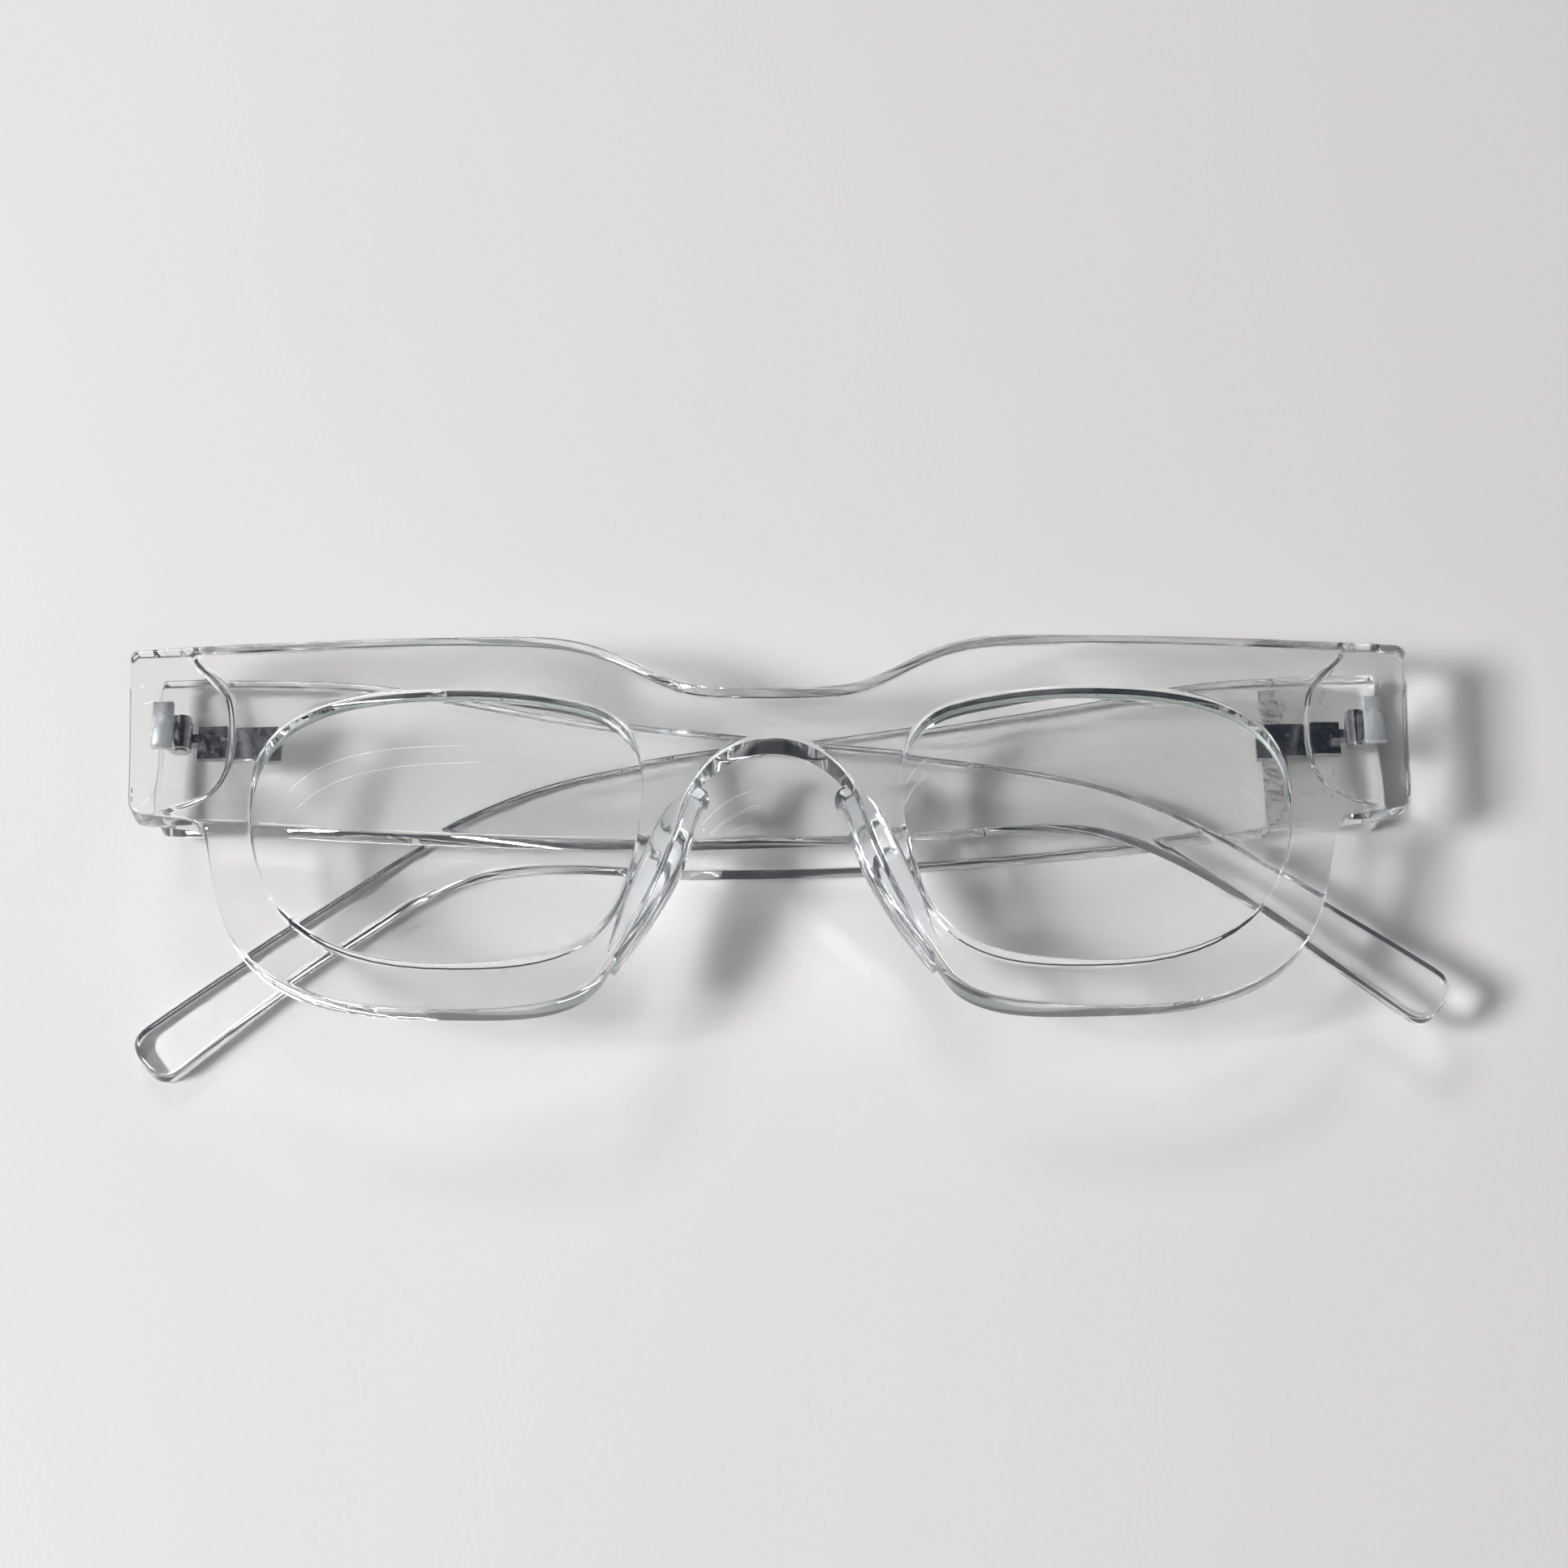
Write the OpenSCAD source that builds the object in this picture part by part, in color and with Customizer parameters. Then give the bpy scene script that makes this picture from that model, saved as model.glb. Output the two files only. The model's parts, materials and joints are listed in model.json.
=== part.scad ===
// Folded eyeglasses with a clear one-piece front, lying on the outer face of the right temple.
// The front is drawn in its own frame: X to the right, Y to the brow, Z out of its face,
// with both hinge pins at Z = 0. place() then sets it on the surface it lies on.

/* [Front] */
// Overall width across the end pieces
front_w = 146.4; // [144:0.2:150]
// Thickness of the rims and the bridge
rim_t = 4.8; // [4.2:0.1:5.4]
// How far the bridge stands ahead of the end pieces
front_bow = 3.0; // [2:0.1:4]
// Depth of the end piece where the temple butts against it
end_t = 3.8; // [3.2:0.1:4.2]

/* [Lenses] */
// Lens thickness
lens_t = 1.8; // [1.4:0.1:2.4]
// Depth of the lens groove in the rim
groove_d = 0.7; // [0.4:0.1:1]
// Depth of the lens behind the front face
lens_back = 1.5; // [1:0.1:2]

/* [Temples] */
// Temple thickness at the hinge
temple_t = 4.0; // [3.6:0.1:4]
// Temple thickness from the ear bend to the tip
tip_t = 3.0; // [2.6:0.1:3]
// Angle by which the upper temple folds past parallel
over_fold = 2.1; // [2:0.05:2.3]
// Angle by which the lower temple stops short of parallel
under_fold = 1.2; // [1.15:0.05:1.4]

/* [Hinges] */
// Distance of each hinge pin from the centre line
pin_x = 67.4; // [67:0.1:67.8]
// Height of each hinge's middle on the front
hinge_y = 14.6; // [13:0.1:15.5]
// Distance from the pin to the face that the temple butts against
pin_gap = 2.9; // [2.7:0.05:3.1]
// Outer radius of the hinge knuckles
knuckle_r = 1.3; // [1.1:0.05:1.4]
// Length of each knuckle along the pin
knuckle_l = 1.1; // [0.9:0.05:1.2]
// Radius of the screw that is the hinge pin
screw_r = 0.7; // [0.6:0.05:0.8]

/* [Hidden] */
$fn = 96;

half_w = front_w / 2;
steps = 10;                              // points on each curved stretch of an outline
slack = 0.05;                            // running clearance of the hinge
deep = 20;                               // past the front's face from Z = 0
crest_z = pin_gap + end_t + front_bow;   // front face at the bridge
bow_r = half_w * half_w / (2 * front_bow);
bow_h = 120;                             // taller than the front
side_z = -(half_w - pin_x);              // outer face of a folded temple, below its pin
inner_z = side_z + temple_t;

// Outlines of the right half of the front, as chains of cubic curves: start, then two
// control points and an end point for each stretch
top_edge = [
    [0, 16.9], [5, 16.9], [8.5, 17], [11, 18], [15.5, 19.8], [19, 23.6], [28, 23.7],
    [42, 23.95], [60, 23.7], [half_w - 0.9, 23.4]
];
end_piece = [
    [half_w - 0.9, 23.4], [half_w - 0.4, 23.4], [half_w, 23], [half_w, 22.4],
    [half_w - 0.4, 16], [half_w - 0.8, 9], [half_w - 1, 4.6],
    [half_w - 1.1, 3.4], [half_w - 1.8, 3], [half_w - 3, 2.8]
];
rim_edge = [
    [half_w - 3, 2.8], [half_w - 5, 2.4], [half_w - 7, 2.2], [64.8, 1.8],
    [62.9, 1.3], [62.9, -3], [61.4, -8], [59.4, -15], [54, -21.45], [36, -21.45],
    [29, -21.45], [21.8, -21.3], [19.2, -17.6]
];
nose_edge = [
    [19.2, -17.6], [15.6, -12], [12.2, -5], [10.4, 1.5], [9, 6.6], [5.2, 10.6], [0, 10.6]
];
aperture = [
    [37, 17], [49.5, 17], [58.5, 14.8], [58.5, 4], [58.5, -8], [51, -15.9], [35, -15.9],
    [22, -15.9], [17.8, -12.5], [16, -5], [14.3, 2], [12, 13], [22, 15.2],
    [26, 16.2], [31, 17], [37, 17]
];
// Nose pads: the height they cover, how far they swell toward the nose and their foot's width
pad_y = [-15.6, 5.5];
pad_swell = 1.3;
pad_foot = 3.6;
pad_low = 0.9;     // its lowest point behind the front
pad_face = 2.2;    // its depth below the front's face
pad_under = 0.3;   // gap between its foot and the rim

// Temples: [distance from the hinge pin, height on the front, width across]
path_left = [
    [-8, 14.3, 17.4], [10, 13.8, 18.2], [25, 12.5, 18], [50, 9.4, 14.2], [84, 7.5, 9.6],
    [100, 6.4, 6.2], [109, 4, 5], [118, -0.9, 4.8], [127, -7.5, 5.2], [135, -13.6, 6],
    [139.5, -17.1, 6.4]
];
path_right = [
    [-8, 14.3, 17.4], [10, 13.5, 18.6], [20, 12.4, 19], [50, 8.9, 16.8], [78, 6.9, 13.4],
    [91, 5.9, 10.2], [100, 3.9, 7.4], [108, 0.4, 5.6], [115, -4.3, 5.3], [123, -10, 5.5],
    [131, -16.2, 6.2], [136, -20.2, 6.6]
];
tip_len = 3;       // rounded end beyond a path's last point
taper = [15, 110]; // where a temple's taper starts and ends, from its pin
reach = 150;       // past the end of either temple

// The end piece's flat back, from its inner edge and its lowest height
flat_from = [63, -1];
flat_size = [20, 30];

// Hinge leaves, measured from the pin
leaf_y = 2.6;      // half height of the plate sunk in the end piece
leaf_x = [0.7, 2.8]; // where it starts and ends, outward from the pin
post_x = [0.5, 1.5]; // the same for the posts that carry the knuckles
leaf_sink = 1.7;   // its depth in the end piece
strip_y = 2;       // half height of the strip sunk in the temple
strip_x = [1.7, 11];
strip_proud = 0.3; // how far it stands out of the temple
strip_z = [inner_z - 1.1, inner_z + strip_proud];
head_r = 1.1;      // screw head's radius
head_l = 0.8;      // its height
slot_w = 0.3;      // its slot's width
foot_l = 0.2;      // screw's end beyond the last knuckle

function cubic(a, b, c, d, t) =
    pow(1 - t, 3) * a + 3 * t * pow(1 - t, 2) * b + 3 * t * t * (1 - t) * c + pow(t, 3) * d;

// Points along a chain of cubic curves, without its last point
function chain(p) =
    [
        for (i = [0:3:len(p) - 4], k = [0:steps - 1])
            cubic(p[i], p[i + 1], p[i + 2], p[i + 3], k / steps)
    ];

// A closed outline between two edges that run the same way
function strip(a, b) = concat(a, [for (i = [len(b) - 1:-1:0]) b[i]]);

function flipped(points) = [for (i = [len(points) - 1:-1:0]) [-points[i][0], points[i][1]]];

// A closed outline moved outward by d, for points that run clockwise
function grown(points, d) = [
    for (i = [0:len(points) - 1])
        let (
            a = points[(i + len(points) - 1) % len(points)],
            b = points[(i + 1) % len(points)],
            run = (b - a) / norm(b - a)
        )
        points[i] + d * [-run[1], run[0]]
];

// Smooth curve through stations of any size
function through(p, i, t) =
    let (
        a = p[max(i - 1, 0)],
        b = p[i],
        c = p[i + 1],
        d = p[min(i + 2, len(p) - 1)]
    )
    0.5 * (2 * b + t * (c - a) + t * t * (2 * a - 5 * b + 4 * c - d)
        + t * t * t * (3 * b - a - 3 * c + d));

function smoothed(p) = concat(
    [for (i = [0:len(p) - 2], k = [0:5]) through(p, i, k / 6)],
    [p[len(p) - 1]]
);

// One long side of a temple, side = 1 for the brow side and -1 for the other
function temple_side(s, side) = [
    for (i = [0:len(s) - 1])
        let (
            run = s[min(i + 1, len(s) - 1)] - s[max(i - 1, 0)],
            along = [run[0], run[1]] / norm([run[0], run[1]])
        )
        [s[i][0], s[i][1]] + side * s[i][2] / 2 * [-along[1], along[0]]
];

function temple_tip(s) =
    let (
        last = s[len(s) - 1],
        run = last - s[len(s) - 2],
        along = [run[0], run[1]] / norm([run[0], run[1]]),
        across = [-along[1], along[0]]
    )
    [
        for (a = [75:-15:-75])
            [last[0], last[1]] + tip_len * pow(cos(a), 0.7) * along
                + last[2] / 2 * sign(a) * pow(abs(sin(a)), 0.8) * across
    ];

function temple_outline(path) =
    let (s = smoothed(path))
    strip(concat(temple_side(s, 1), temple_tip(s)), temple_side(s, -1));

outline_left = temple_outline(path_left);
outline_right = temple_outline(path_right);
half_front = concat(chain(top_edge), chain(end_piece), chain(rim_edge), chain(nose_edge));
front_outline = concat(half_front, [[0, 10.6]], flipped([for (p = half_front) if (p[0] > 0) p]));

// Nose pad: its edge toward the nose, the rim's edge beside it and the edge of its foot
pad_rim = [for (p = chain(nose_edge)) if (p[1] > pad_y[0] && p[1] < pad_y[1]) p];
pad_nose = [
    for (i = [1:len(pad_rim) - 2])
        pad_rim[i] - [pad_swell * pow(sin(180 * i / (len(pad_rim) - 1)), 0.6), 0]
];
pad_back = [for (p = pad_nose) p + [pad_foot, 0.6]];
pad_z = [pad_low, crest_z - rim_t - pad_under, crest_z - pad_face];

// Where the front stands, so that the box round the folded glasses is centred on the origin
roll = under_fold;
lift = -side_z + pin_x * sin(roll);
rise = over_fold - roll;
tip_left = max([for (p = outline_left) p[0]]);
reach_right = tip_left * cos(rise) - side_z * sin(rise) - pin_x * cos(roll);
reach_left = half_w * cos(roll) - pin_gap * sin(roll);
reach_low = -min([for (p = outline_right) p[1]]);
reach_high = max([for (p = front_outline) p[1]]);
mid_x = (reach_right - reach_left) / 2;
mid_y = (reach_high - reach_low) / 2;

module place() translate([-mid_x, -mid_y, lift]) rotate([0, roll, 0]) children();

// A slab bent like the front, between two depths behind its face
module bowed(near, far) {
    translate([0, -bow_h / 2, crest_z - bow_r]) rotate([-90, 0, 0]) difference() {
        cylinder(r = bow_r - near, h = bow_h, $fn = 360);
        translate([0, 0, -1]) cylinder(r = bow_r - far, h = bow_h + 2, $fn = 360);
    }
}

module on_side(side) {
    if (side > 0) children();
    else mirror([1, 0, 0]) children();
}

module lens_shape(grow) intersection() {
    linear_extrude(deep) polygon(grown(chain(aperture), grow));
    bowed(lens_back, lens_back + lens_t);
}

module leaf_pocket() {
    translate([pin_x + leaf_x[0], hinge_y - leaf_y, pin_gap - 1])
        cube([leaf_x[1] - leaf_x[0], 2 * leaf_y, leaf_sink + 1]);
}

module front_frame() color("whitesmoke", 0.4) place() difference() {
    intersection() {
        linear_extrude(deep) polygon(front_outline);
        bowed(0, rim_t);
    }
    for (side = [-1, 1]) on_side(side) {
        translate([0, 0, -1]) linear_extrude(deep + 2) polygon(chain(aperture));
        lens_shape(groove_d);
        leaf_pocket();
        translate([flat_from[0], flat_from[1], pin_gap - deep])
            cube([flat_size[0], flat_size[1], deep]);
    }
}

module lens(side) color("lightcyan", 0.3) place() on_side(side) lens_shape(groove_d);

// Pad glued along the nose side of a rim: a lip beside the rim and a wider foot behind it
module nose_pad(side) color("ghostwhite", 0.4) place() on_side(side) {
    translate([0, 0, pad_z[1]])
        linear_extrude(pad_z[2] - pad_z[1]) polygon(strip(pad_nose, pad_rim));
    translate([0, 0, pad_z[0]])
        linear_extrude(pad_z[1] - pad_z[0]) polygon(strip(pad_nose, pad_back));
}

// Plate in the end piece, with the two outer knuckles
module hinge_front(side) color("silver") place() on_side(side) translate([pin_x, hinge_y, 0]) {
    difference() {
        union() {
            translate([leaf_x[0], -leaf_y, pin_gap])
                cube([leaf_x[1] - leaf_x[0], 2 * leaf_y, leaf_sink]);
            for (low = [-1.5 * knuckle_l, 0.5 * knuckle_l + slack]) {
                translate([post_x[0], low, 0])
                    cube([post_x[1] - post_x[0], knuckle_l - slack, pin_gap]);
                translate([0, low, 0])
                    rotate([-90, 0, 0]) cylinder(r = knuckle_r, h = knuckle_l - slack);
            }
        }
        translate([0, -leaf_y, 0]) rotate([-90, 0, 0]) cylinder(r = screw_r, h = 2 * leaf_y);
    }
}

// Slotted screw, with its head toward the brow
module hinge_screw(side) color("gainsboro") place() on_side(side) translate([pin_x, hinge_y, 0]) {
    rotate([-90, 0, 0]) {
        translate([0, 0, -1.5 * knuckle_l - foot_l])
            cylinder(r = screw_r, h = 3 * knuckle_l + foot_l);
        translate([0, 0, 1.5 * knuckle_l]) difference() {
            cylinder(r = head_r, h = head_l);
            translate([-head_r, -slot_w / 2, head_l / 2]) cube([2 * head_r, slot_w, head_l]);
        }
    }
}

// Sets a temple's own frame, with X along it from its pin, at its hinge
module at_left_hinge() place()
    translate([-pin_x, 0, 0]) rotate([0, -over_fold, 0]) children();

module at_right_hinge() place()
    translate([pin_x, 0, 0]) rotate([0, -under_fold, 0]) mirror([1, 0, 0]) children();

module temple(outline) {
    butt = slack - pin_gap;
    difference() {
        intersection() {
            translate([0, 0, side_z - 1]) linear_extrude(temple_t + 2) polygon(outline);
            translate([0, bow_h / 2, 0]) rotate([90, 0, 0]) linear_extrude(bow_h) polygon([
                [butt, side_z], [butt, inner_z], [taper[0], inner_z], [taper[1], side_z + tip_t],
                [reach, side_z + tip_t], [reach, side_z]
            ]);
        }
        translate([strip_x[0], hinge_y - strip_y, strip_z[0]])
            cube([strip_x[1] - strip_x[0], 2 * strip_y, temple_t]);
    }
}

// Strip sunk in the temple, with the middle knuckle
module temple_leaf() translate([0, hinge_y, 0]) difference() {
    union() {
        translate([strip_x[0], -strip_y, strip_z[0]])
            cube([strip_x[1] - strip_x[0], 2 * strip_y, strip_z[1] - strip_z[0]]);
        translate([0, -knuckle_l / 2, inner_z]) cube([strip_x[0] + 1, knuckle_l, -strip_z[1]]);
        translate([0, -knuckle_l / 2, 0]) rotate([-90, 0, 0]) cylinder(r = knuckle_r, h = knuckle_l);
    }
    translate([0, -knuckle_l, 0])
        rotate([-90, 0, 0]) cylinder(r = screw_r + slack, h = 2 * knuckle_l);
}

module temple_left() color("whitesmoke", 0.4) at_left_hinge() temple(outline_left);
module temple_right() color("whitesmoke", 0.4) at_right_hinge() temple(outline_right);
module hinge_temple_left() color("silver") at_left_hinge() temple_leaf();
module hinge_temple_right() color("silver") at_right_hinge() temple_leaf();

front_frame();
lens(-1);  // lens_left
lens(1);  // lens_right
nose_pad(-1);  // nose_pad_left
nose_pad(1);  // nose_pad_right
hinge_front(-1);  // hinge_front_left
hinge_front(1);  // hinge_front_right
hinge_screw(-1);  // hinge_screw_left
hinge_screw(1);  // hinge_screw_right
temple_left();
temple_right();
hinge_temple_left();
hinge_temple_right();
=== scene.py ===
"""Folded clear eyeglasses on a pale table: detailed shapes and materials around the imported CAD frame."""

import json
import math

import bmesh
import bpy
import numpy as np
from mathutils import Matrix, Vector
from mathutils.geometry import delaunay_2d_cdt


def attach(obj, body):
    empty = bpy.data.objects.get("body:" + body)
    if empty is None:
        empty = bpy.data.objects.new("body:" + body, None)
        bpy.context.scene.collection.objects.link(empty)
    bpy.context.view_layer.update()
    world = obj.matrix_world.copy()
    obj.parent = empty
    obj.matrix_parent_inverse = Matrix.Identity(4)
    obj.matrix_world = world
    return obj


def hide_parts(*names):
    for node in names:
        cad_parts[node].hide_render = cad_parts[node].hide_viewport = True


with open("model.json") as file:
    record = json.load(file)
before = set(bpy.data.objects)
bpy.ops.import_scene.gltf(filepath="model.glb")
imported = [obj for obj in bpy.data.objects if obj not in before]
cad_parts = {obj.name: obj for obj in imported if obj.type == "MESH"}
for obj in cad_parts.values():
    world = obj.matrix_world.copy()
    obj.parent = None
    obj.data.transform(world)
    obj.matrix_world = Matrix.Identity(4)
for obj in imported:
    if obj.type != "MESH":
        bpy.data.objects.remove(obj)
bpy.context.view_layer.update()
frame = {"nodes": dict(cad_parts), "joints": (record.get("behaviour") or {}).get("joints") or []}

# Design sizes in millimetres. The front's own frame has X to the right, Y to the brow and Z out of its face,
# with both hinge pins at Z = 0.
HALF_W = 73.2
RIM_T = 4.8
PIN_GAP = 2.9
CREST_Z = 9.7
BOW = 3.0
BOW_R = HALF_W**2 / (2 * BOW)
PIN_X = 67.4
HINGE_Y = 14.6
LEAF_X = (0.7, 2.8)
LEAF_Y = 2.6
LEAF_SINK = 1.7
LENS_BACK = 1.5
LENS_T = 1.8
TEMPLE_T = 4.0
TIP_T = 3.0
OVER_FOLD = 2.1
UNDER_FOLD = 1.2
SIDE_Z = PIN_X - HALF_W
INNER_Z = SIDE_Z + TEMPLE_T
FRONT_ROUND = 0.35
TEMPLE_ROUND = 0.5
LENS_ROUND = 0.12
LENS_GAP = 0.04
POCKET_GAP = 0.12
POCKET_MOUTH = 0.05
TAPER_FROM = 15
TAPER_TO = 110
TIP_LEN = 3.0

# The rims' backs fall in by RELIEF over RELIEF_RUN, starting RELIEF_FROM away from the middle, and the end
# blocks' walls blend over WALL_BLEND
RELIEF = 1.2
RELIEF_FROM = 24
RELIEF_RUN = 14
WALL_BLEND = 0.9

# Faint ejector-pin rings on the end blocks' backs: their centres, radius, height and width
EJECTORS = [(71.2, 6.2), (71.4, 18.6)]
RING_R = 1.2
RING_H = 0.06
RING_W = 0.13

# Nose pads: how far they stand out toward the nose, the reach of their glued foot and their top and bottom
PAD_SWELL = 1.9
PAD_FOOT = 3.3
PAD_HIGH = 8.6
PAD_LOW = 0.95
PAD_SPAN = (-15.6, 5.6)

# Spacing of mesh points along the outlines and inside them
EDGE_STEP = 0.5
GRID = 1.6

# Right half of the front as chains of cubic curves: a start, then two control points and an end per stretch
TOP_EDGE = [
    (0, 16.9), (5, 16.9), (8.5, 17), (11, 18), (15.5, 19.8), (19, 23.6), (28, 23.7), (42, 23.95), (60, 23.7),
    (HALF_W - 0.9, 23.4),
]
END_PIECE = [
    (HALF_W - 0.9, 23.4), (HALF_W - 0.4, 23.4), (HALF_W, 23), (HALF_W, 22.4),
    (HALF_W - 0.4, 16), (HALF_W - 0.8, 9),
    (HALF_W - 1, 4.6), (HALF_W - 1.1, 3.4), (HALF_W - 1.8, 3), (HALF_W - 3, 2.8),
]
RIM_EDGE = [
    (HALF_W - 3, 2.8), (HALF_W - 5, 2.4), (HALF_W - 7, 2.2), (64.8, 1.8), (62.9, 1.3), (62.9, -3), (61.4, -8),
    (59.4, -15), (54, -21.45), (36, -21.45), (29, -21.45), (21.8, -21.3), (19.2, -17.6),
]
NOSE_EDGE = [(19.2, -17.6), (15.6, -12), (12.2, -5), (10.4, 1.5), (9, 6.6), (5.2, 10.6), (0, 10.6)]
APERTURE = [
    (37, 17), (49.5, 17), (58.5, 14.8), (58.5, 4), (58.5, -8), (51, -15.9), (35, -15.9),
    (22, -15.9), (17.8, -12.5),
    (16, -5), (14.3, 2), (12, 13), (22, 15.2), (26, 16.2), (31, 17), (37, 17),
]
# Inner wall of the thicker block at each end of the front, which the temple butts against
BLOCK_WALL = [
    (66.8, 24.6), (65.6, 22.4), (63.4, 20.2), (61.9, 18), (61.3, 15), (61.2, 11.5), (61.7, 8.6), (63.2, 6.2),
    (65.6, 4.9), (68, 4.1), (70, 2.4),
]
# Temples: distance from the hinge pin, height on the front, width across
PATH_LEFT = [
    (-8, 14.3, 17.4), (10, 13.8, 18.2), (25, 12.5, 18), (50, 9.4, 14.2), (84, 7.5, 9.6),
    (100, 6.4, 6.2), (109, 4, 5),
    (118, -0.9, 4.8), (127, -7.5, 5.2), (135, -13.6, 6), (139.5, -17.1, 6.4),
]
PATH_RIGHT = [
    (-8, 14.3, 17.4), (10, 13.5, 18.6), (20, 12.4, 19), (50, 8.9, 16.8), (78, 6.9, 13.4), (91, 5.9, 10.2),
    (100, 3.9, 7.4), (108, 0.4, 5.6), (115, -4.3, 5.3), (123, -10, 5.5), (131, -16.2, 6.2), (136, -20.2, 6.6),
]


# ---------------------------------------------------------------- frames

def placement():
    """The front's own frame, in millimetres, to the row frame, in metres, from the two hinge pins."""
    pins = {j["child"]: Vector(j["pos_m"]) for j in frame["joints"]}
    left, right = pins["left_temple"], pins["right_temple"]
    ex = (right - left).normalized()
    ey = Vector((0, 1, 0))
    ez = ex.cross(ey)
    mid = (left + right) / 2 - ey * HINGE_Y / 1000
    turn = Matrix((ex, ey, ez)).transposed().to_4x4()
    return Matrix.Translation(mid) @ turn @ Matrix.Scale(0.001, 4)


PLACE = placement()
MIRROR = Matrix.Diagonal((-1, 1, 1, 1))
OVER_TURN = Matrix.Rotation(math.radians(-OVER_FOLD), 4, "Y")
UNDER_TURN = Matrix.Rotation(math.radians(-UNDER_FOLD), 4, "Y")
AT_LEFT = PLACE @ Matrix.Translation((-PIN_X, 0, 0)) @ OVER_TURN
AT_RIGHT = PLACE @ Matrix.Translation((PIN_X, 0, 0)) @ UNDER_TURN @ MIRROR


# ---------------------------------------------------------------- outlines

def chain(points, steps=14):
    """Points along a chain of cubic curves, without its last point."""
    out = []
    for i in range(0, len(points) - 3, 3):
        a, b, c, d = (np.array(points[i + k], float) for k in range(4))
        for k in range(steps):
            t = k / steps
            out.append((1 - t) ** 3 * a + 3 * t * (1 - t) ** 2 * b + 3 * t * t * (1 - t) * c + t**3 * d)
    return np.array(out)


def respaced(loop, spacing):
    """The closed loop with points a near-even distance apart."""
    closed = np.vstack([loop, loop[:1]])
    run = np.r_[0, np.cumsum(np.linalg.norm(np.diff(closed, axis=0), axis=1))]
    count = max(8, int(run[-1] / spacing))
    at = np.linspace(0, run[-1], count, endpoint=False)
    return np.c_[np.interp(at, run, closed[:, 0]), np.interp(at, run, closed[:, 1])]


def turned(loop, clockwise):
    """The loop, run clockwise or the other way."""
    area = np.sum(loop[:, 0] * np.roll(loop[:, 1], -1) - np.roll(loop[:, 0], -1) * loop[:, 1])
    return loop[::-1] if (area > 0) == clockwise else loop


def normals(loop):
    """Unit normals on the left of the loop's direction."""
    run = np.roll(loop, -1, 0) - np.roll(loop, 1, 0)
    run /= np.linalg.norm(run, axis=1)[:, None]
    return np.c_[-run[:, 1], run[:, 0]]


def flipped(loop):
    """The loop mirrored to the other side, in the same direction of travel."""
    return (loop * [-1, 1])[::-1]


def through(points, samples=12):
    """Smooth curve through stations of any size."""
    p = np.array(points, float)
    out = []
    for i in range(len(p) - 1):
        a, b, c, d = p[max(i - 1, 0)], p[i], p[i + 1], p[min(i + 2, len(p) - 1)]
        for k in range(samples):
            t = k / samples
            out.append(0.5 * (2 * b + t * (c - a) + t * t * (2 * a - 5 * b + 4 * c - d)
                              + t**3 * (3 * b - a - 3 * c + d)))
    return np.array(out + [p[-1]])


def front_outline():
    half = np.vstack([chain(TOP_EDGE), chain(END_PIECE), chain(RIM_EDGE), chain(NOSE_EDGE), [[0, 10.6]]])
    return np.vstack([half, flipped(half)[1:-1]])


def temple_outline(path):
    s = through(path)
    run = np.gradient(s[:, :2], axis=0)
    run /= np.linalg.norm(run, axis=1)[:, None]
    across = np.c_[-run[:, 1], run[:, 0]]
    upper = s[:, :2] + across * s[:, 2:] / 2
    lower = s[:, :2] - across * s[:, 2:] / 2
    a = np.radians(np.arange(80, -81, -8))[:, None]
    tip = (s[-1, :2] + TIP_LEN * np.cos(a) ** 0.7 * run[-1]
           + s[-1, 2] / 2 * np.sign(a) * np.abs(np.sin(a)) ** 0.8 * across[-1])
    outline = np.vstack([upper, tip, lower[::-1]])
    butt = 0.05 - PIN_GAP
    outline[:, 0] = np.maximum(outline[:, 0], butt)
    keep = np.r_[True, np.linalg.norm(np.diff(outline, axis=0), axis=1) > 1e-6]
    return outline[keep]


def to_segments(points, a, b):
    """Distance from each point to the nearest of the segments a to b, in batches to spare memory."""
    batch = 500
    ab = b - a
    length = np.maximum((ab**2).sum(1), 1e-12)
    out = np.empty(len(points))
    for i in range(0, len(points), batch):
        ap = points[i:i + batch, None] - a[None]
        t = np.clip((ap * ab).sum(2) / length, 0, 1)
        out[i:i + batch] = np.sqrt(((ap - t[..., None] * ab) ** 2).sum(2)).min(1)
    return out


def distance(points, loops):
    """Distance from each point to the nearest edge of the closed loops."""
    return to_segments(points, np.vstack(loops), np.vstack([np.roll(l, -1, 0) for l in loops]))


def inside(points, loop):
    """Whether each point is inside the closed loop."""
    x, y = points[:, 0], points[:, 1]
    hit = np.zeros(len(points), bool)
    for (x0, y0), (x1, y1) in zip(loop, np.roll(loop, -1, 0)):
        if y0 != y1:
            cross = (y0 > y) != (y1 > y)
            hit ^= cross & (x < (x1 - x0) * (y - y0) / (y1 - y0) + x0)
    return hit


# ---------------------------------------------------------------- meshes

def add_piece(name, verts, faces, matrix, material_ids=None, materials=()):
    """A smooth-shaded mesh object in the row frame."""
    mesh = bpy.data.meshes.new(name)
    points = [matrix @ Vector(v) for v in verts]
    if matrix.determinant() < 0:
        faces = [tuple(reversed(f)) for f in faces]
    mesh.from_pydata(points, [], faces)
    for m in materials:
        mesh.materials.append(m)
    if material_ids is not None:
        mesh.polygons.foreach_set("material_index", material_ids)
    mesh.polygons.foreach_set("use_smooth", [True] * len(mesh.polygons))
    mesh.update()
    obj = bpy.data.objects.new(name, mesh)
    bpy.context.scene.collection.objects.link(obj)
    return obj


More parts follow.
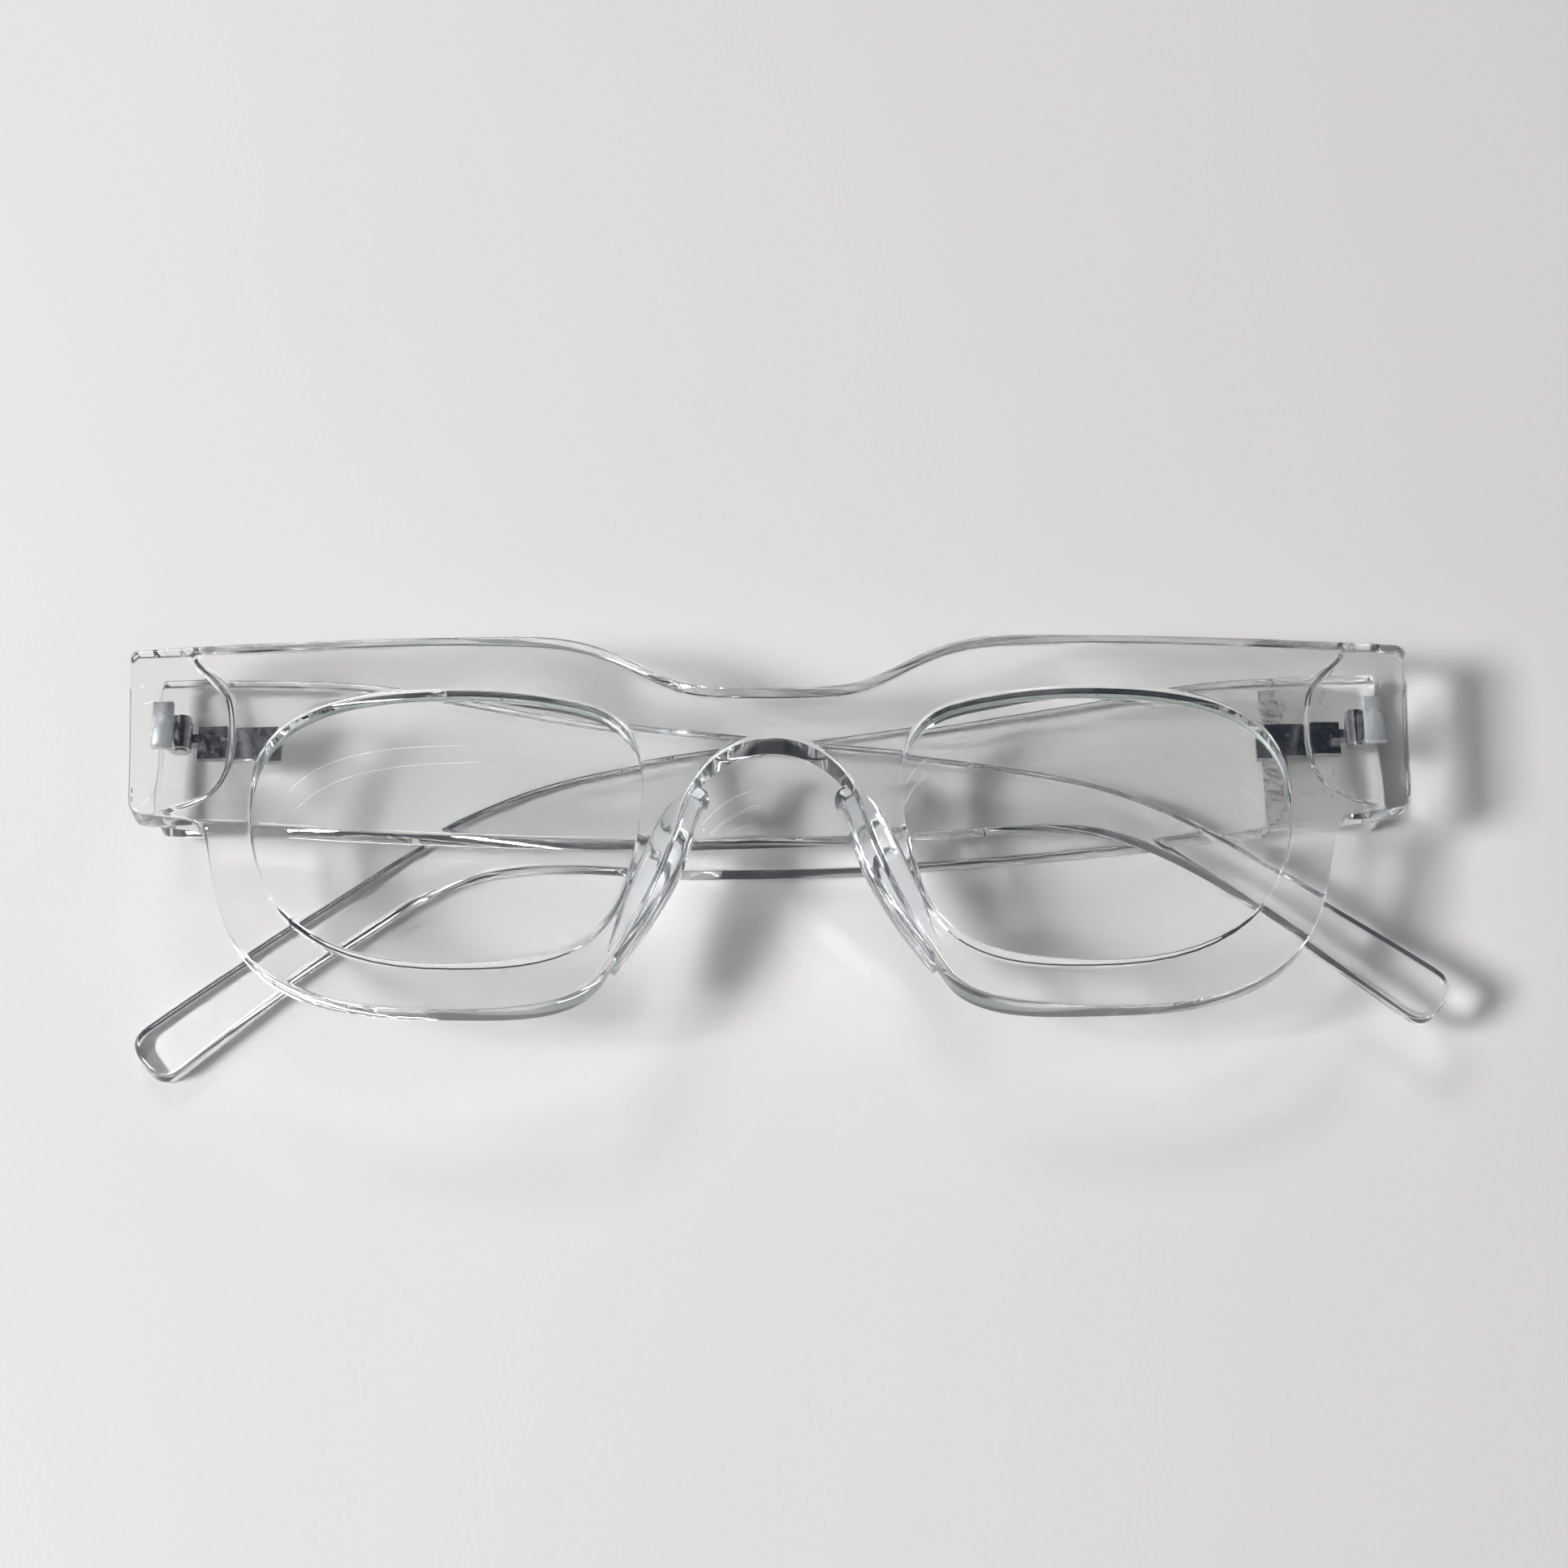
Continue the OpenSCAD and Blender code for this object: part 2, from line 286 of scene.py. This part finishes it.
def plate(outer, holes, top, bottom, radius, extra=None):
    """A closed plate between two height functions, with rounded edges and any extra mesh points.
    Returns its vertices, its faces and how many of those come before the walls."""
    loops = [turned(respaced(outer, EDGE_STEP), False)]
    loops += [turned(respaced(h, EDGE_STEP), True) for h in holes]
    angles = np.radians([0, 12, 27, 45, 66, 90])
    depths = np.r_[radius * (1 - np.cos(angles)), radius + 0.12]
    rings = []
    for depth in depths[1:]:
        ring = np.vstack([l + normals(l) * depth for l in loops])
        rings.append(ring[distance(ring, loops) > depth * 0.985])
    low, high = loops[0].min(0), loops[0].max(0)
    gx, gy = np.meshgrid(np.arange(low[0], high[0], GRID), np.arange(low[1], high[1], GRID * 0.87))
    gx[1::2] += GRID / 2
    field = np.c_[gx.ravel(), gy.ravel()]
    if extra is not None:
        field = field[distance(field, [extra]) > 0.35 * GRID]
        rings.append(extra[(distance(extra, loops) > radius + 0.2) & within(extra, loops)])
    field = field[within(field, loops)]
    rings.append(field[distance(field, loops) > radius + 0.45 * GRID])
    walls = sum(len(l) for l in loops)
    flat = np.vstack(loops + rings)
    edges = []
    start = 0
    for l in loops:
        n = len(l)
        edges += [(start + i, start + (i + 1) % n) for i in range(n)]
        start += n
    points, _, tris, _, _, _ = delaunay_2d_cdt([Vector(p) for p in flat], edges, [], 0, 1e-7)
    points = np.array([tuple(p) for p in points])
    tris = np.array(tris)
    tris = tris[within(points[tris].mean(1), loops)]
    d = distance(points, loops)
    d[:walls] = 0

    drop = radius - np.sqrt(np.maximum(radius * radius - np.maximum(radius - d, 0) ** 2, 0))
    n = len(points)
    upper = np.c_[points, top(points) - drop]
    lower = np.c_[points, bottom(points) + drop]
    faces = [tuple(t) for t in tris.tolist()] + [(c + n, b + n, a + n) for a, b, c in tris.tolist()]
    caps = len(faces)
    faces += [(b, a, a + n, b + n) for a, b in edges]
    return np.vstack([upper, lower]), faces, caps


def within(points, loops):
    """Whether each point is inside the first loop and outside the rest."""
    hit = inside(points, loops[0])
    for hole in loops[1:]:
        hit &= ~inside(points, hole)
    return hit


def sag(points):
    """How far the bowed front falls back from its crest."""
    return BOW_R - np.sqrt(BOW_R**2 - points[:, 0] ** 2)


def smooth_step(x):
    t = np.clip(x, 0, 1)
    return t * t * (3 - 2 * t)


def box_shell(low, high):
    """Vertices and inward faces of a box-shaped hollow."""
    x, y, z = ((low[i], high[i]) for i in range(3))
    verts = [(a, b, c) for a in x for b in y for c in z]
    faces = [(0, 1, 3, 2), (4, 6, 7, 5), (0, 4, 5, 1), (2, 3, 7, 6), (0, 2, 6, 4), (1, 5, 7, 3)]
    return verts, [tuple(reversed(f)) for f in faces]


# ---------------------------------------------------------------- materials

def node(tree, kind, **values):
    n = tree.nodes.new(kind)
    for key, value in values.items():
        if key in n.inputs:
            n.inputs[key].default_value = value
        else:
            setattr(n, key, value)
    return n


def new_material(name):
    m = bpy.data.materials.new(name)
    m.use_nodes = True
    tree = m.node_tree
    tree.nodes.clear()
    out = node(tree, "ShaderNodeOutputMaterial")
    shader = node(tree, "ShaderNodeBsdfPrincipled")
    tree.links.new(shader.outputs[0], out.inputs["Surface"])
    return m, tree, shader, out


def add_bump(tree, shader, layers):
    """Chained bump from noise layers of (scale, strength, distance)."""
    coord = node(tree, "ShaderNodeTexCoord")
    last = None
    for scale, strength, distance_m in layers:
        noise = node(tree, "ShaderNodeTexNoise", Scale=scale, Detail=3.0)
        tree.links.new(coord.outputs["Object"], noise.inputs["Vector"])
        bump = node(tree, "ShaderNodeBump", Strength=strength, Distance=distance_m)
        tree.links.new(noise.outputs[0], bump.inputs["Height"])
        if last:
            tree.links.new(last.outputs[0], bump.inputs["Normal"])
        last = bump
    tree.links.new(last.outputs[0], shader.inputs["Normal"])


def ramp(tree, source, stops):
    r = node(tree, "ShaderNodeValToRGB")
    r.color_ramp.elements[0].position, r.color_ramp.elements[0].color = stops[0][0], (*stops[0][1], 1)
    r.color_ramp.elements[1].position, r.color_ramp.elements[1].color = stops[-1][0], (*stops[-1][1], 1)
    for position, color in stops[1:-1]:
        r.color_ramp.elements.new(position).color = (*color, 1)
    tree.links.new(source, r.inputs[0])
    return r


def add_roughness(tree, shader, scale, low, high):
    """Roughness that wanders between two values, as handling marks do."""
    coord = node(tree, "ShaderNodeTexCoord")
    noise = node(tree, "ShaderNodeTexNoise", Scale=scale, Detail=5.0, Roughness=0.65)
    tree.links.new(coord.outputs["Object"], noise.inputs["Vector"])
    r = ramp(tree, noise.outputs[0], [(0.35, (low,) * 3), (0.75, (high,) * 3)])
    tree.links.new(r.outputs[0], shader.inputs["Roughness"])


def clear_plastic(name, base, ior, bumps, rough, tint, density):
    m, tree, shader, out = new_material(name)
    shader.inputs["Base Color"].default_value = (*base, 1)
    shader.inputs["Transmission Weight"].default_value = 1.0
    shader.inputs["IOR"].default_value = ior
    add_roughness(tree, shader, 260.0, *rough)
    add_bump(tree, shader, bumps)
    volume = node(tree, "ShaderNodeVolumeAbsorption", Color=(*tint, 1), Density=density)
    tree.links.new(volume.outputs[0], out.inputs["Volume"])
    return m


def frame_plastic():
    return clear_plastic("clear_frame_plastic", (1.0, 1.0, 1.0), 1.49,
                         [(45.0, 0.12, 0.0004), (420.0, 0.03, 0.0001)], (0.0, 0.02), (0.42, 0.5, 0.51), 11.0)


def pad_plastic():
    return clear_plastic("clear_pad_plastic", (0.97, 0.98, 0.995), 1.5,
                         [(140.0, 0.5, 0.0006), (600.0, 0.08, 0.0001)], (0.0, 0.06), (0.6, 0.7, 0.86), 14.0)


def lens_glass():
    return clear_plastic("coated_lens", (1.0, 1.0, 1.0), 1.5, [(18.0, 0.05, 0.0002)], (0.0, 0.012),
                         (0.7, 0.95, 0.85), 3.0)


def lens_edge():
    m, tree, shader, _ = new_material("ground_lens_edge")
    shader.inputs["Base Color"].default_value = (0.55, 0.74, 0.66, 1)
    shader.inputs["Transmission Weight"].default_value = 0.55
    shader.inputs["IOR"].default_value = 1.5
    add_roughness(tree, shader, 900.0, 0.25, 0.5)
    add_bump(tree, shader, [(2500.0, 0.3, 0.00005)])
    return m


def milky_pocket():
    m, tree, shader, _ = new_material("heat_set_pocket")
    shader.inputs["Base Color"].default_value = (0.9, 0.93, 0.96, 1)
    shader.inputs["Transmission Weight"].default_value = 0.5
    shader.inputs["IOR"].default_value = 1.49
    add_roughness(tree, shader, 1400.0, 0.3, 0.75)
    add_bump(tree, shader, [(1800.0, 0.8, 0.0001)])
    return m


def chrome(name, color, rough):
    m, tree, shader, _ = new_material(name)
    shader.inputs["Metallic"].default_value = 1.0
    coord = node(tree, "ShaderNodeTexCoord")
    noise = node(tree, "ShaderNodeTexNoise", Scale=900.0, Detail=4.0)
    tree.links.new(coord.outputs["Object"], noise.inputs["Vector"])
    dark = tuple(c * 0.8 for c in color)
    r = ramp(tree, noise.outputs[0], [(0.3, dark), (0.7, color)])
    tree.links.new(r.outputs[0], shader.inputs["Base Color"])
    add_roughness(tree, shader, 1500.0, *rough)
    add_bump(tree, shader, [(2200.0, 0.25, 0.00004)])
    return m


def table_top():
    m, tree, shader, _ = new_material("pale_table")
    coord = node(tree, "ShaderNodeTexCoord")
    noise = node(tree, "ShaderNodeTexNoise", Scale=9.0, Detail=6.0)
    tree.links.new(coord.outputs["Object"], noise.inputs["Vector"])
    r = ramp(tree, noise.outputs[0], [(0.3, (0.68, 0.672, 0.665)), (0.7, (0.705, 0.697, 0.69))])
    tree.links.new(r.outputs[0], shader.inputs["Base Color"])
    shader.inputs["Roughness"].default_value = 0.6
    shader.inputs["Specular IOR Level"].default_value = 0.25
    add_bump(tree, shader, [(1500.0, 0.12, 0.0002)])
    return m


# ---------------------------------------------------------------- pieces

def block_wall_points():
    """Rows of points on both sides of each end block's inner wall."""
    wall = through(BLOCK_WALL, 8)
    run = np.gradient(wall, axis=0)
    run /= np.linalg.norm(run, axis=1)[:, None]
    across = np.c_[-run[:, 1], run[:, 0]]
    rows = np.vstack([wall + across * d for d in np.arange(-0.6, 0.61, 0.2)])
    return np.vstack([rows, rows * [-1, 1]])


def front_back(points):
    """Height of the front's back: a flat block at each end and a thinner rim between them."""
    wall = through(BLOCK_WALL, 8)
    side = np.abs(points[:, 0])
    mirrored = np.c_[side, points[:, 1]]
    block = np.vstack([wall, [[80, 2], [80, 30]]])
    signed = to_segments(mirrored, wall[:-1], wall[1:]) * np.where(inside(mirrored, block), -1, 1)
    relief = RELIEF * smooth_step((side - RELIEF_FROM) / RELIEF_RUN)
    rim = CREST_Z - RIM_T + relief - sag(points)
    blend = smooth_step(signed / WALL_BLEND + 0.5)
    back = PIN_GAP + (rim - PIN_GAP) * blend
    for x, y in EJECTORS:
        r = np.hypot(side - x, points[:, 1] - y)
        back += RING_H * np.exp(-((r - RING_R) / RING_W) ** 2)
    return back


def ejector_points():
    """Mesh points along each ejector ring, so that it comes out round."""
    a = np.linspace(0, 2 * np.pi, 28, endpoint=False)
    rows = []
    for x, y in EJECTORS:
        for r in (0.95, 1.07, RING_R, 1.33, 1.45):
            rows.append(np.c_[x + r * np.cos(a), y + r * np.sin(a)])
    rows = np.vstack(rows)
    return np.vstack([rows, rows * [-1, 1]])


def make_front(plastic, pocket):
    holes = [chain(APERTURE), flipped(chain(APERTURE))]
    extra = np.vstack([block_wall_points(), ejector_points()])
    verts, faces, _ = plate(front_outline(), holes, lambda p: CREST_Z - sag(p), front_back, FRONT_ROUND,
                            extra)
    ids = [0] * len(faces)
    for side in (-1, 1):
        near, far = sorted(side * (PIN_X + x) for x in (LEAF_X[0] - POCKET_GAP, LEAF_X[1] + POCKET_GAP))
        low = (near, HINGE_Y - LEAF_Y - POCKET_GAP, PIN_GAP + POCKET_MOUTH)
        high = (far, HINGE_Y + LEAF_Y + POCKET_GAP, PIN_GAP + LEAF_SINK + POCKET_GAP)
        v, f = box_shell(low, high)
        start = len(verts)
        verts = np.vstack([verts, v])
        faces += [tuple(i + start for i in q) for q in f]
        ids += [1] * len(f)
    obj = add_piece("clear_front", verts.tolist(), faces, PLACE, ids, (plastic, pocket))
    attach(obj, "front")
    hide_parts("front_frame")


def make_lens(side, label, glass, edge):
    hole = chain(APERTURE)
    loop = turned(hole, False)
    loop = loop + normals(loop) * LENS_GAP
    if side < 0:
        loop = flipped(loop)
    verts, faces, caps = plate(loop, [], lambda p: CREST_Z - LENS_BACK - sag(p),
                               lambda p: CREST_Z - LENS_BACK - LENS_T - sag(p), LENS_ROUND)
    ids = [0] * caps + [1] * (len(faces) - caps)
    obj = add_piece(f"coated_lens_{label}", verts.tolist(), faces, PLACE, ids, (glass, edge))
    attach(obj, "front")
    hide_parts(f"lens_{label}")


def temple_inner(points):
    """Height of a temple's inner face, which thins it toward the tip."""
    x = points[:, 0]
    t = np.clip((x - TAPER_FROM) / (TAPER_TO - TAPER_FROM), 0, 1)
    return INNER_Z + (SIDE_Z + TIP_T - INNER_Z) * t


def make_temple(path, label, matrix, plastic):
    outline = temple_outline(path)
    verts, faces, _ = plate(outline, [], temple_inner, lambda p: np.full(len(p), SIDE_Z), TEMPLE_ROUND)
    obj = add_piece(f"clear_temple_{label}", verts.tolist(), faces, matrix, None, (plastic,))
    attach(obj, f"{label}_temple")
    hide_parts(f"temple_{label}")


def pad_sections(steps=26):
    """Rings of the glued nose pad along the nose side of the right rim."""
    edge = chain(NOSE_EDGE, 40)
    edge = edge[(edge[:, 1] > PAD_SPAN[0]) & (edge[:, 1] < PAD_SPAN[1])]
    at = np.r_[np.linspace(0, len(edge) - 1.3, steps - 1), len(edge) - 1]
    spine = np.c_[np.interp(at, range(len(edge)), edge[:, 0]), np.interp(at, range(len(edge)), edge[:, 1])]
    run = np.gradient(spine, axis=0)
    run /= np.linalg.norm(run, axis=1)[:, None]
    nose = np.c_[-run[:, 1], run[:, 0]] * -1
    if nose[:, 0].mean() > 0:
        nose = -nose
    rings = []
    for i in range(steps):
        t = i / (steps - 1)
        swell = PAD_SWELL * min(1, t / 0.5) ** 0.8
        foot = PAD_FOOT * math.sin(math.pi * min(t * 0.9 + 0.06, 1)) ** 0.7
        low = PAD_LOW + 1.6 * (1 - math.sin(math.pi * (0.12 + 0.76 * t)))
        high = PAD_HIGH
        shape = [(0.0, high), (swell * 0.75, high - 0.1), (swell, high - 0.6), (swell + 0.05, 4.5),
                 (swell * 0.8, low + 0.9), (swell * 0.1, low), (-foot * 0.6, low + 0.25), (-foot, low + 1.4),
                 (-foot * 0.9, 4.85), (-foot * 0.3, 5.2), (0.02, 5.7), (0.02, 7)]
        rings.append([(spine[i, 0] + nose[i, 0] * u, spine[i, 1] + nose[i, 1] * u, z) for u, z in shape])
    return rings


def crease_end(obj, ring):
    """Keeps the blunt end of a subdivided piece flat."""
    crease = obj.data.attributes.new("crease_edge", "FLOAT", "EDGE")
    ring = set(ring)
    for e in obj.data.edges:
        if set(e.vertices) <= ring:
            crease.data[e.index].value = 1.0


def make_pad(side, label, plastic):
    rings = pad_sections()
    around = len(rings[0])
    verts = [v for ring in rings for v in ring]
    faces = []
    for i in range(len(rings) - 1):
        for k in range(around):
            a, b = i * around + k, i * around + (k + 1) % around
            faces.append((a, b, b + around, a + around))
    faces.append(tuple(reversed(range(around))))
    last = (len(rings) - 1) * around
    faces.append(tuple(range(last, last + around)))
    matrix = PLACE if side > 0 else PLACE @ MIRROR
    obj = add_piece(f"glued_nose_pad_{label}", verts, faces, matrix, None, (plastic,))
    fix = bmesh.new()
    fix.from_mesh(obj.data)
    bmesh.ops.recalc_face_normals(fix, faces=fix.faces)
    fix.to_mesh(obj.data)
    fix.free()
    crease_end(obj, range(last, last + around))
    sub = obj.modifiers.new("smooth", "SUBSURF")
    sub.levels = sub.render_levels = 2
    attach(obj, "front")
    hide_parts(f"nose_pad_{label}")


def dress(name, material):
    obj = frame["nodes"][name]
    obj.data.materials.clear()
    obj.data.materials.append(material)


# ---------------------------------------------------------------- stage

def make_table():
    size = 3.0
    mesh = bpy.data.meshes.new("table")
    corners = [(-size, -size, 0), (size, -size, 0), (size, size, 0), (-size, size, 0)]
    mesh.from_pydata(corners, [], [(0, 1, 2, 3)])
    mesh.materials.append(table_top())
    table = bpy.data.objects.new("table", mesh)
    bpy.context.scene.collection.objects.link(table)


def make_world():
    world = bpy.data.worlds.new("studio")
    bpy.context.scene.world = world
    world.use_nodes = True
    tree = world.node_tree
    tree.nodes.clear()
    out = node(tree, "ShaderNodeOutputWorld")
    coord = node(tree, "ShaderNodeTexCoord")
    split = node(tree, "ShaderNodeSeparateXYZ")
    tree.links.new(coord.outputs["Generated"], split.inputs[0])
    height = ramp(tree, split.outputs["Z"], [
        (0.0, (0.3, 0.3, 0.3)), (0.1, (0.04, 0.05, 0.08)), (0.4, (0.1, 0.11, 0.14)), (0.62, (0.5, 0.5, 0.5)),
        (1.0, (0.8, 0.8, 0.79)),
    ])
    card = node(tree, "ShaderNodeVectorMath", operation="DOT_PRODUCT")
    tree.links.new(coord.outputs["Generated"], card.inputs[0])
    card.inputs[1].default_value = Vector((0.2, 0.62, 0.76)).normalized()
    mask = ramp(tree, card.outputs["Value"], [(0.80, (0, 0, 0)), (0.9, (1, 1, 1))])
    mix = node(tree, "ShaderNodeMix", data_type="RGBA")
    tree.links.new(mask.outputs[0], mix.inputs[0])
    tree.links.new(height.outputs[0], mix.inputs[6])
    mix.inputs[7].default_value = (0.012, 0.016, 0.035, 1)
    lit = node(tree, "ShaderNodeBackground", Strength=0.5)
    tree.links.new(mix.outputs[2], lit.inputs[0])
    plain = node(tree, "ShaderNodeBackground", Color=(0.72, 0.71, 0.705, 1), Strength=0.5)
    path = node(tree, "ShaderNodeLightPath")
    choose = node(tree, "ShaderNodeMixShader")
    tree.links.new(path.outputs["Is Camera Ray"], choose.inputs[0])
    tree.links.new(lit.outputs[0], choose.inputs[1])
    tree.links.new(plain.outputs[0], choose.inputs[2])
    tree.links.new(choose.outputs[0], out.inputs["Surface"])


def area_light(name, place, size, power):
    """A rectangular lamp aimed at the origin."""
    light = bpy.data.lights.new(name, "AREA")
    light.shape = "RECTANGLE"
    light.size, light.size_y = size
    light.energy = power
    obj = bpy.data.objects.new(name, light)
    obj.location = place
    obj.rotation_euler = (-Vector(place)).to_track_quat("-Z", "Y").to_euler()
    bpy.context.scene.collection.objects.link(obj)


def make_camera():
    camera = bpy.data.cameras.new("camera")
    camera.sensor_width = 36
    camera.angle = math.radians(27)
    camera.clip_start = 0.01
    obj = bpy.data.objects.new("camera", camera)
    tilt = math.radians(24)
    roll = math.radians(-0.78)
    obj.matrix_world = (Matrix.Translation((0.0003, -0.1436, 0.3501)) @ Matrix.Rotation(tilt, 4, "X")
                        @ Matrix.Rotation(roll, 4, "Z"))
    bpy.context.scene.collection.objects.link(obj)
    bpy.context.scene.camera = obj


def make_studio():
    make_camera()
    make_table()
    make_world()
    area_light("key", (-0.92, -0.25, 0.9), (0.35, 0.35), 18.8)
    area_light("top", (-0.45, 1.05, 1.1), (0.6, 0.3), 4.5)
    cycles = bpy.context.scene.cycles
    cycles.max_bounces = 24
    cycles.transmission_bounces = 24
    cycles.glossy_bounces = 10
    cycles.blur_glossy = 0.2
    cycles.sample_clamp_indirect = 0
    bpy.context.scene.view_settings.view_transform = "Standard"


def make_glasses():
    plastic = frame_plastic()
    pad = pad_plastic()
    glass = lens_glass()
    edge = lens_edge()
    pocket = milky_pocket()
    leaf = chrome("hinge_chrome", (0.62, 0.63, 0.65), (0.12, 0.3))
    screw = chrome("screw_steel", (0.7, 0.69, 0.67), (0.1, 0.25))
    make_front(plastic, pocket)
    make_lens(-1, "left", glass, edge)
    make_lens(1, "right", glass, edge)
    make_pad(-1, "left", pad)
    make_pad(1, "right", pad)
    make_temple(PATH_LEFT, "left", AT_LEFT, plastic)
    make_temple(PATH_RIGHT, "right", AT_RIGHT, plastic)
    for label in ("left", "right"):
        dress(f"hinge_front_{label}", leaf)
        dress(f"hinge_temple_{label}", leaf)
        dress(f"hinge_screw_{label}", screw)


make_studio()
make_glasses()
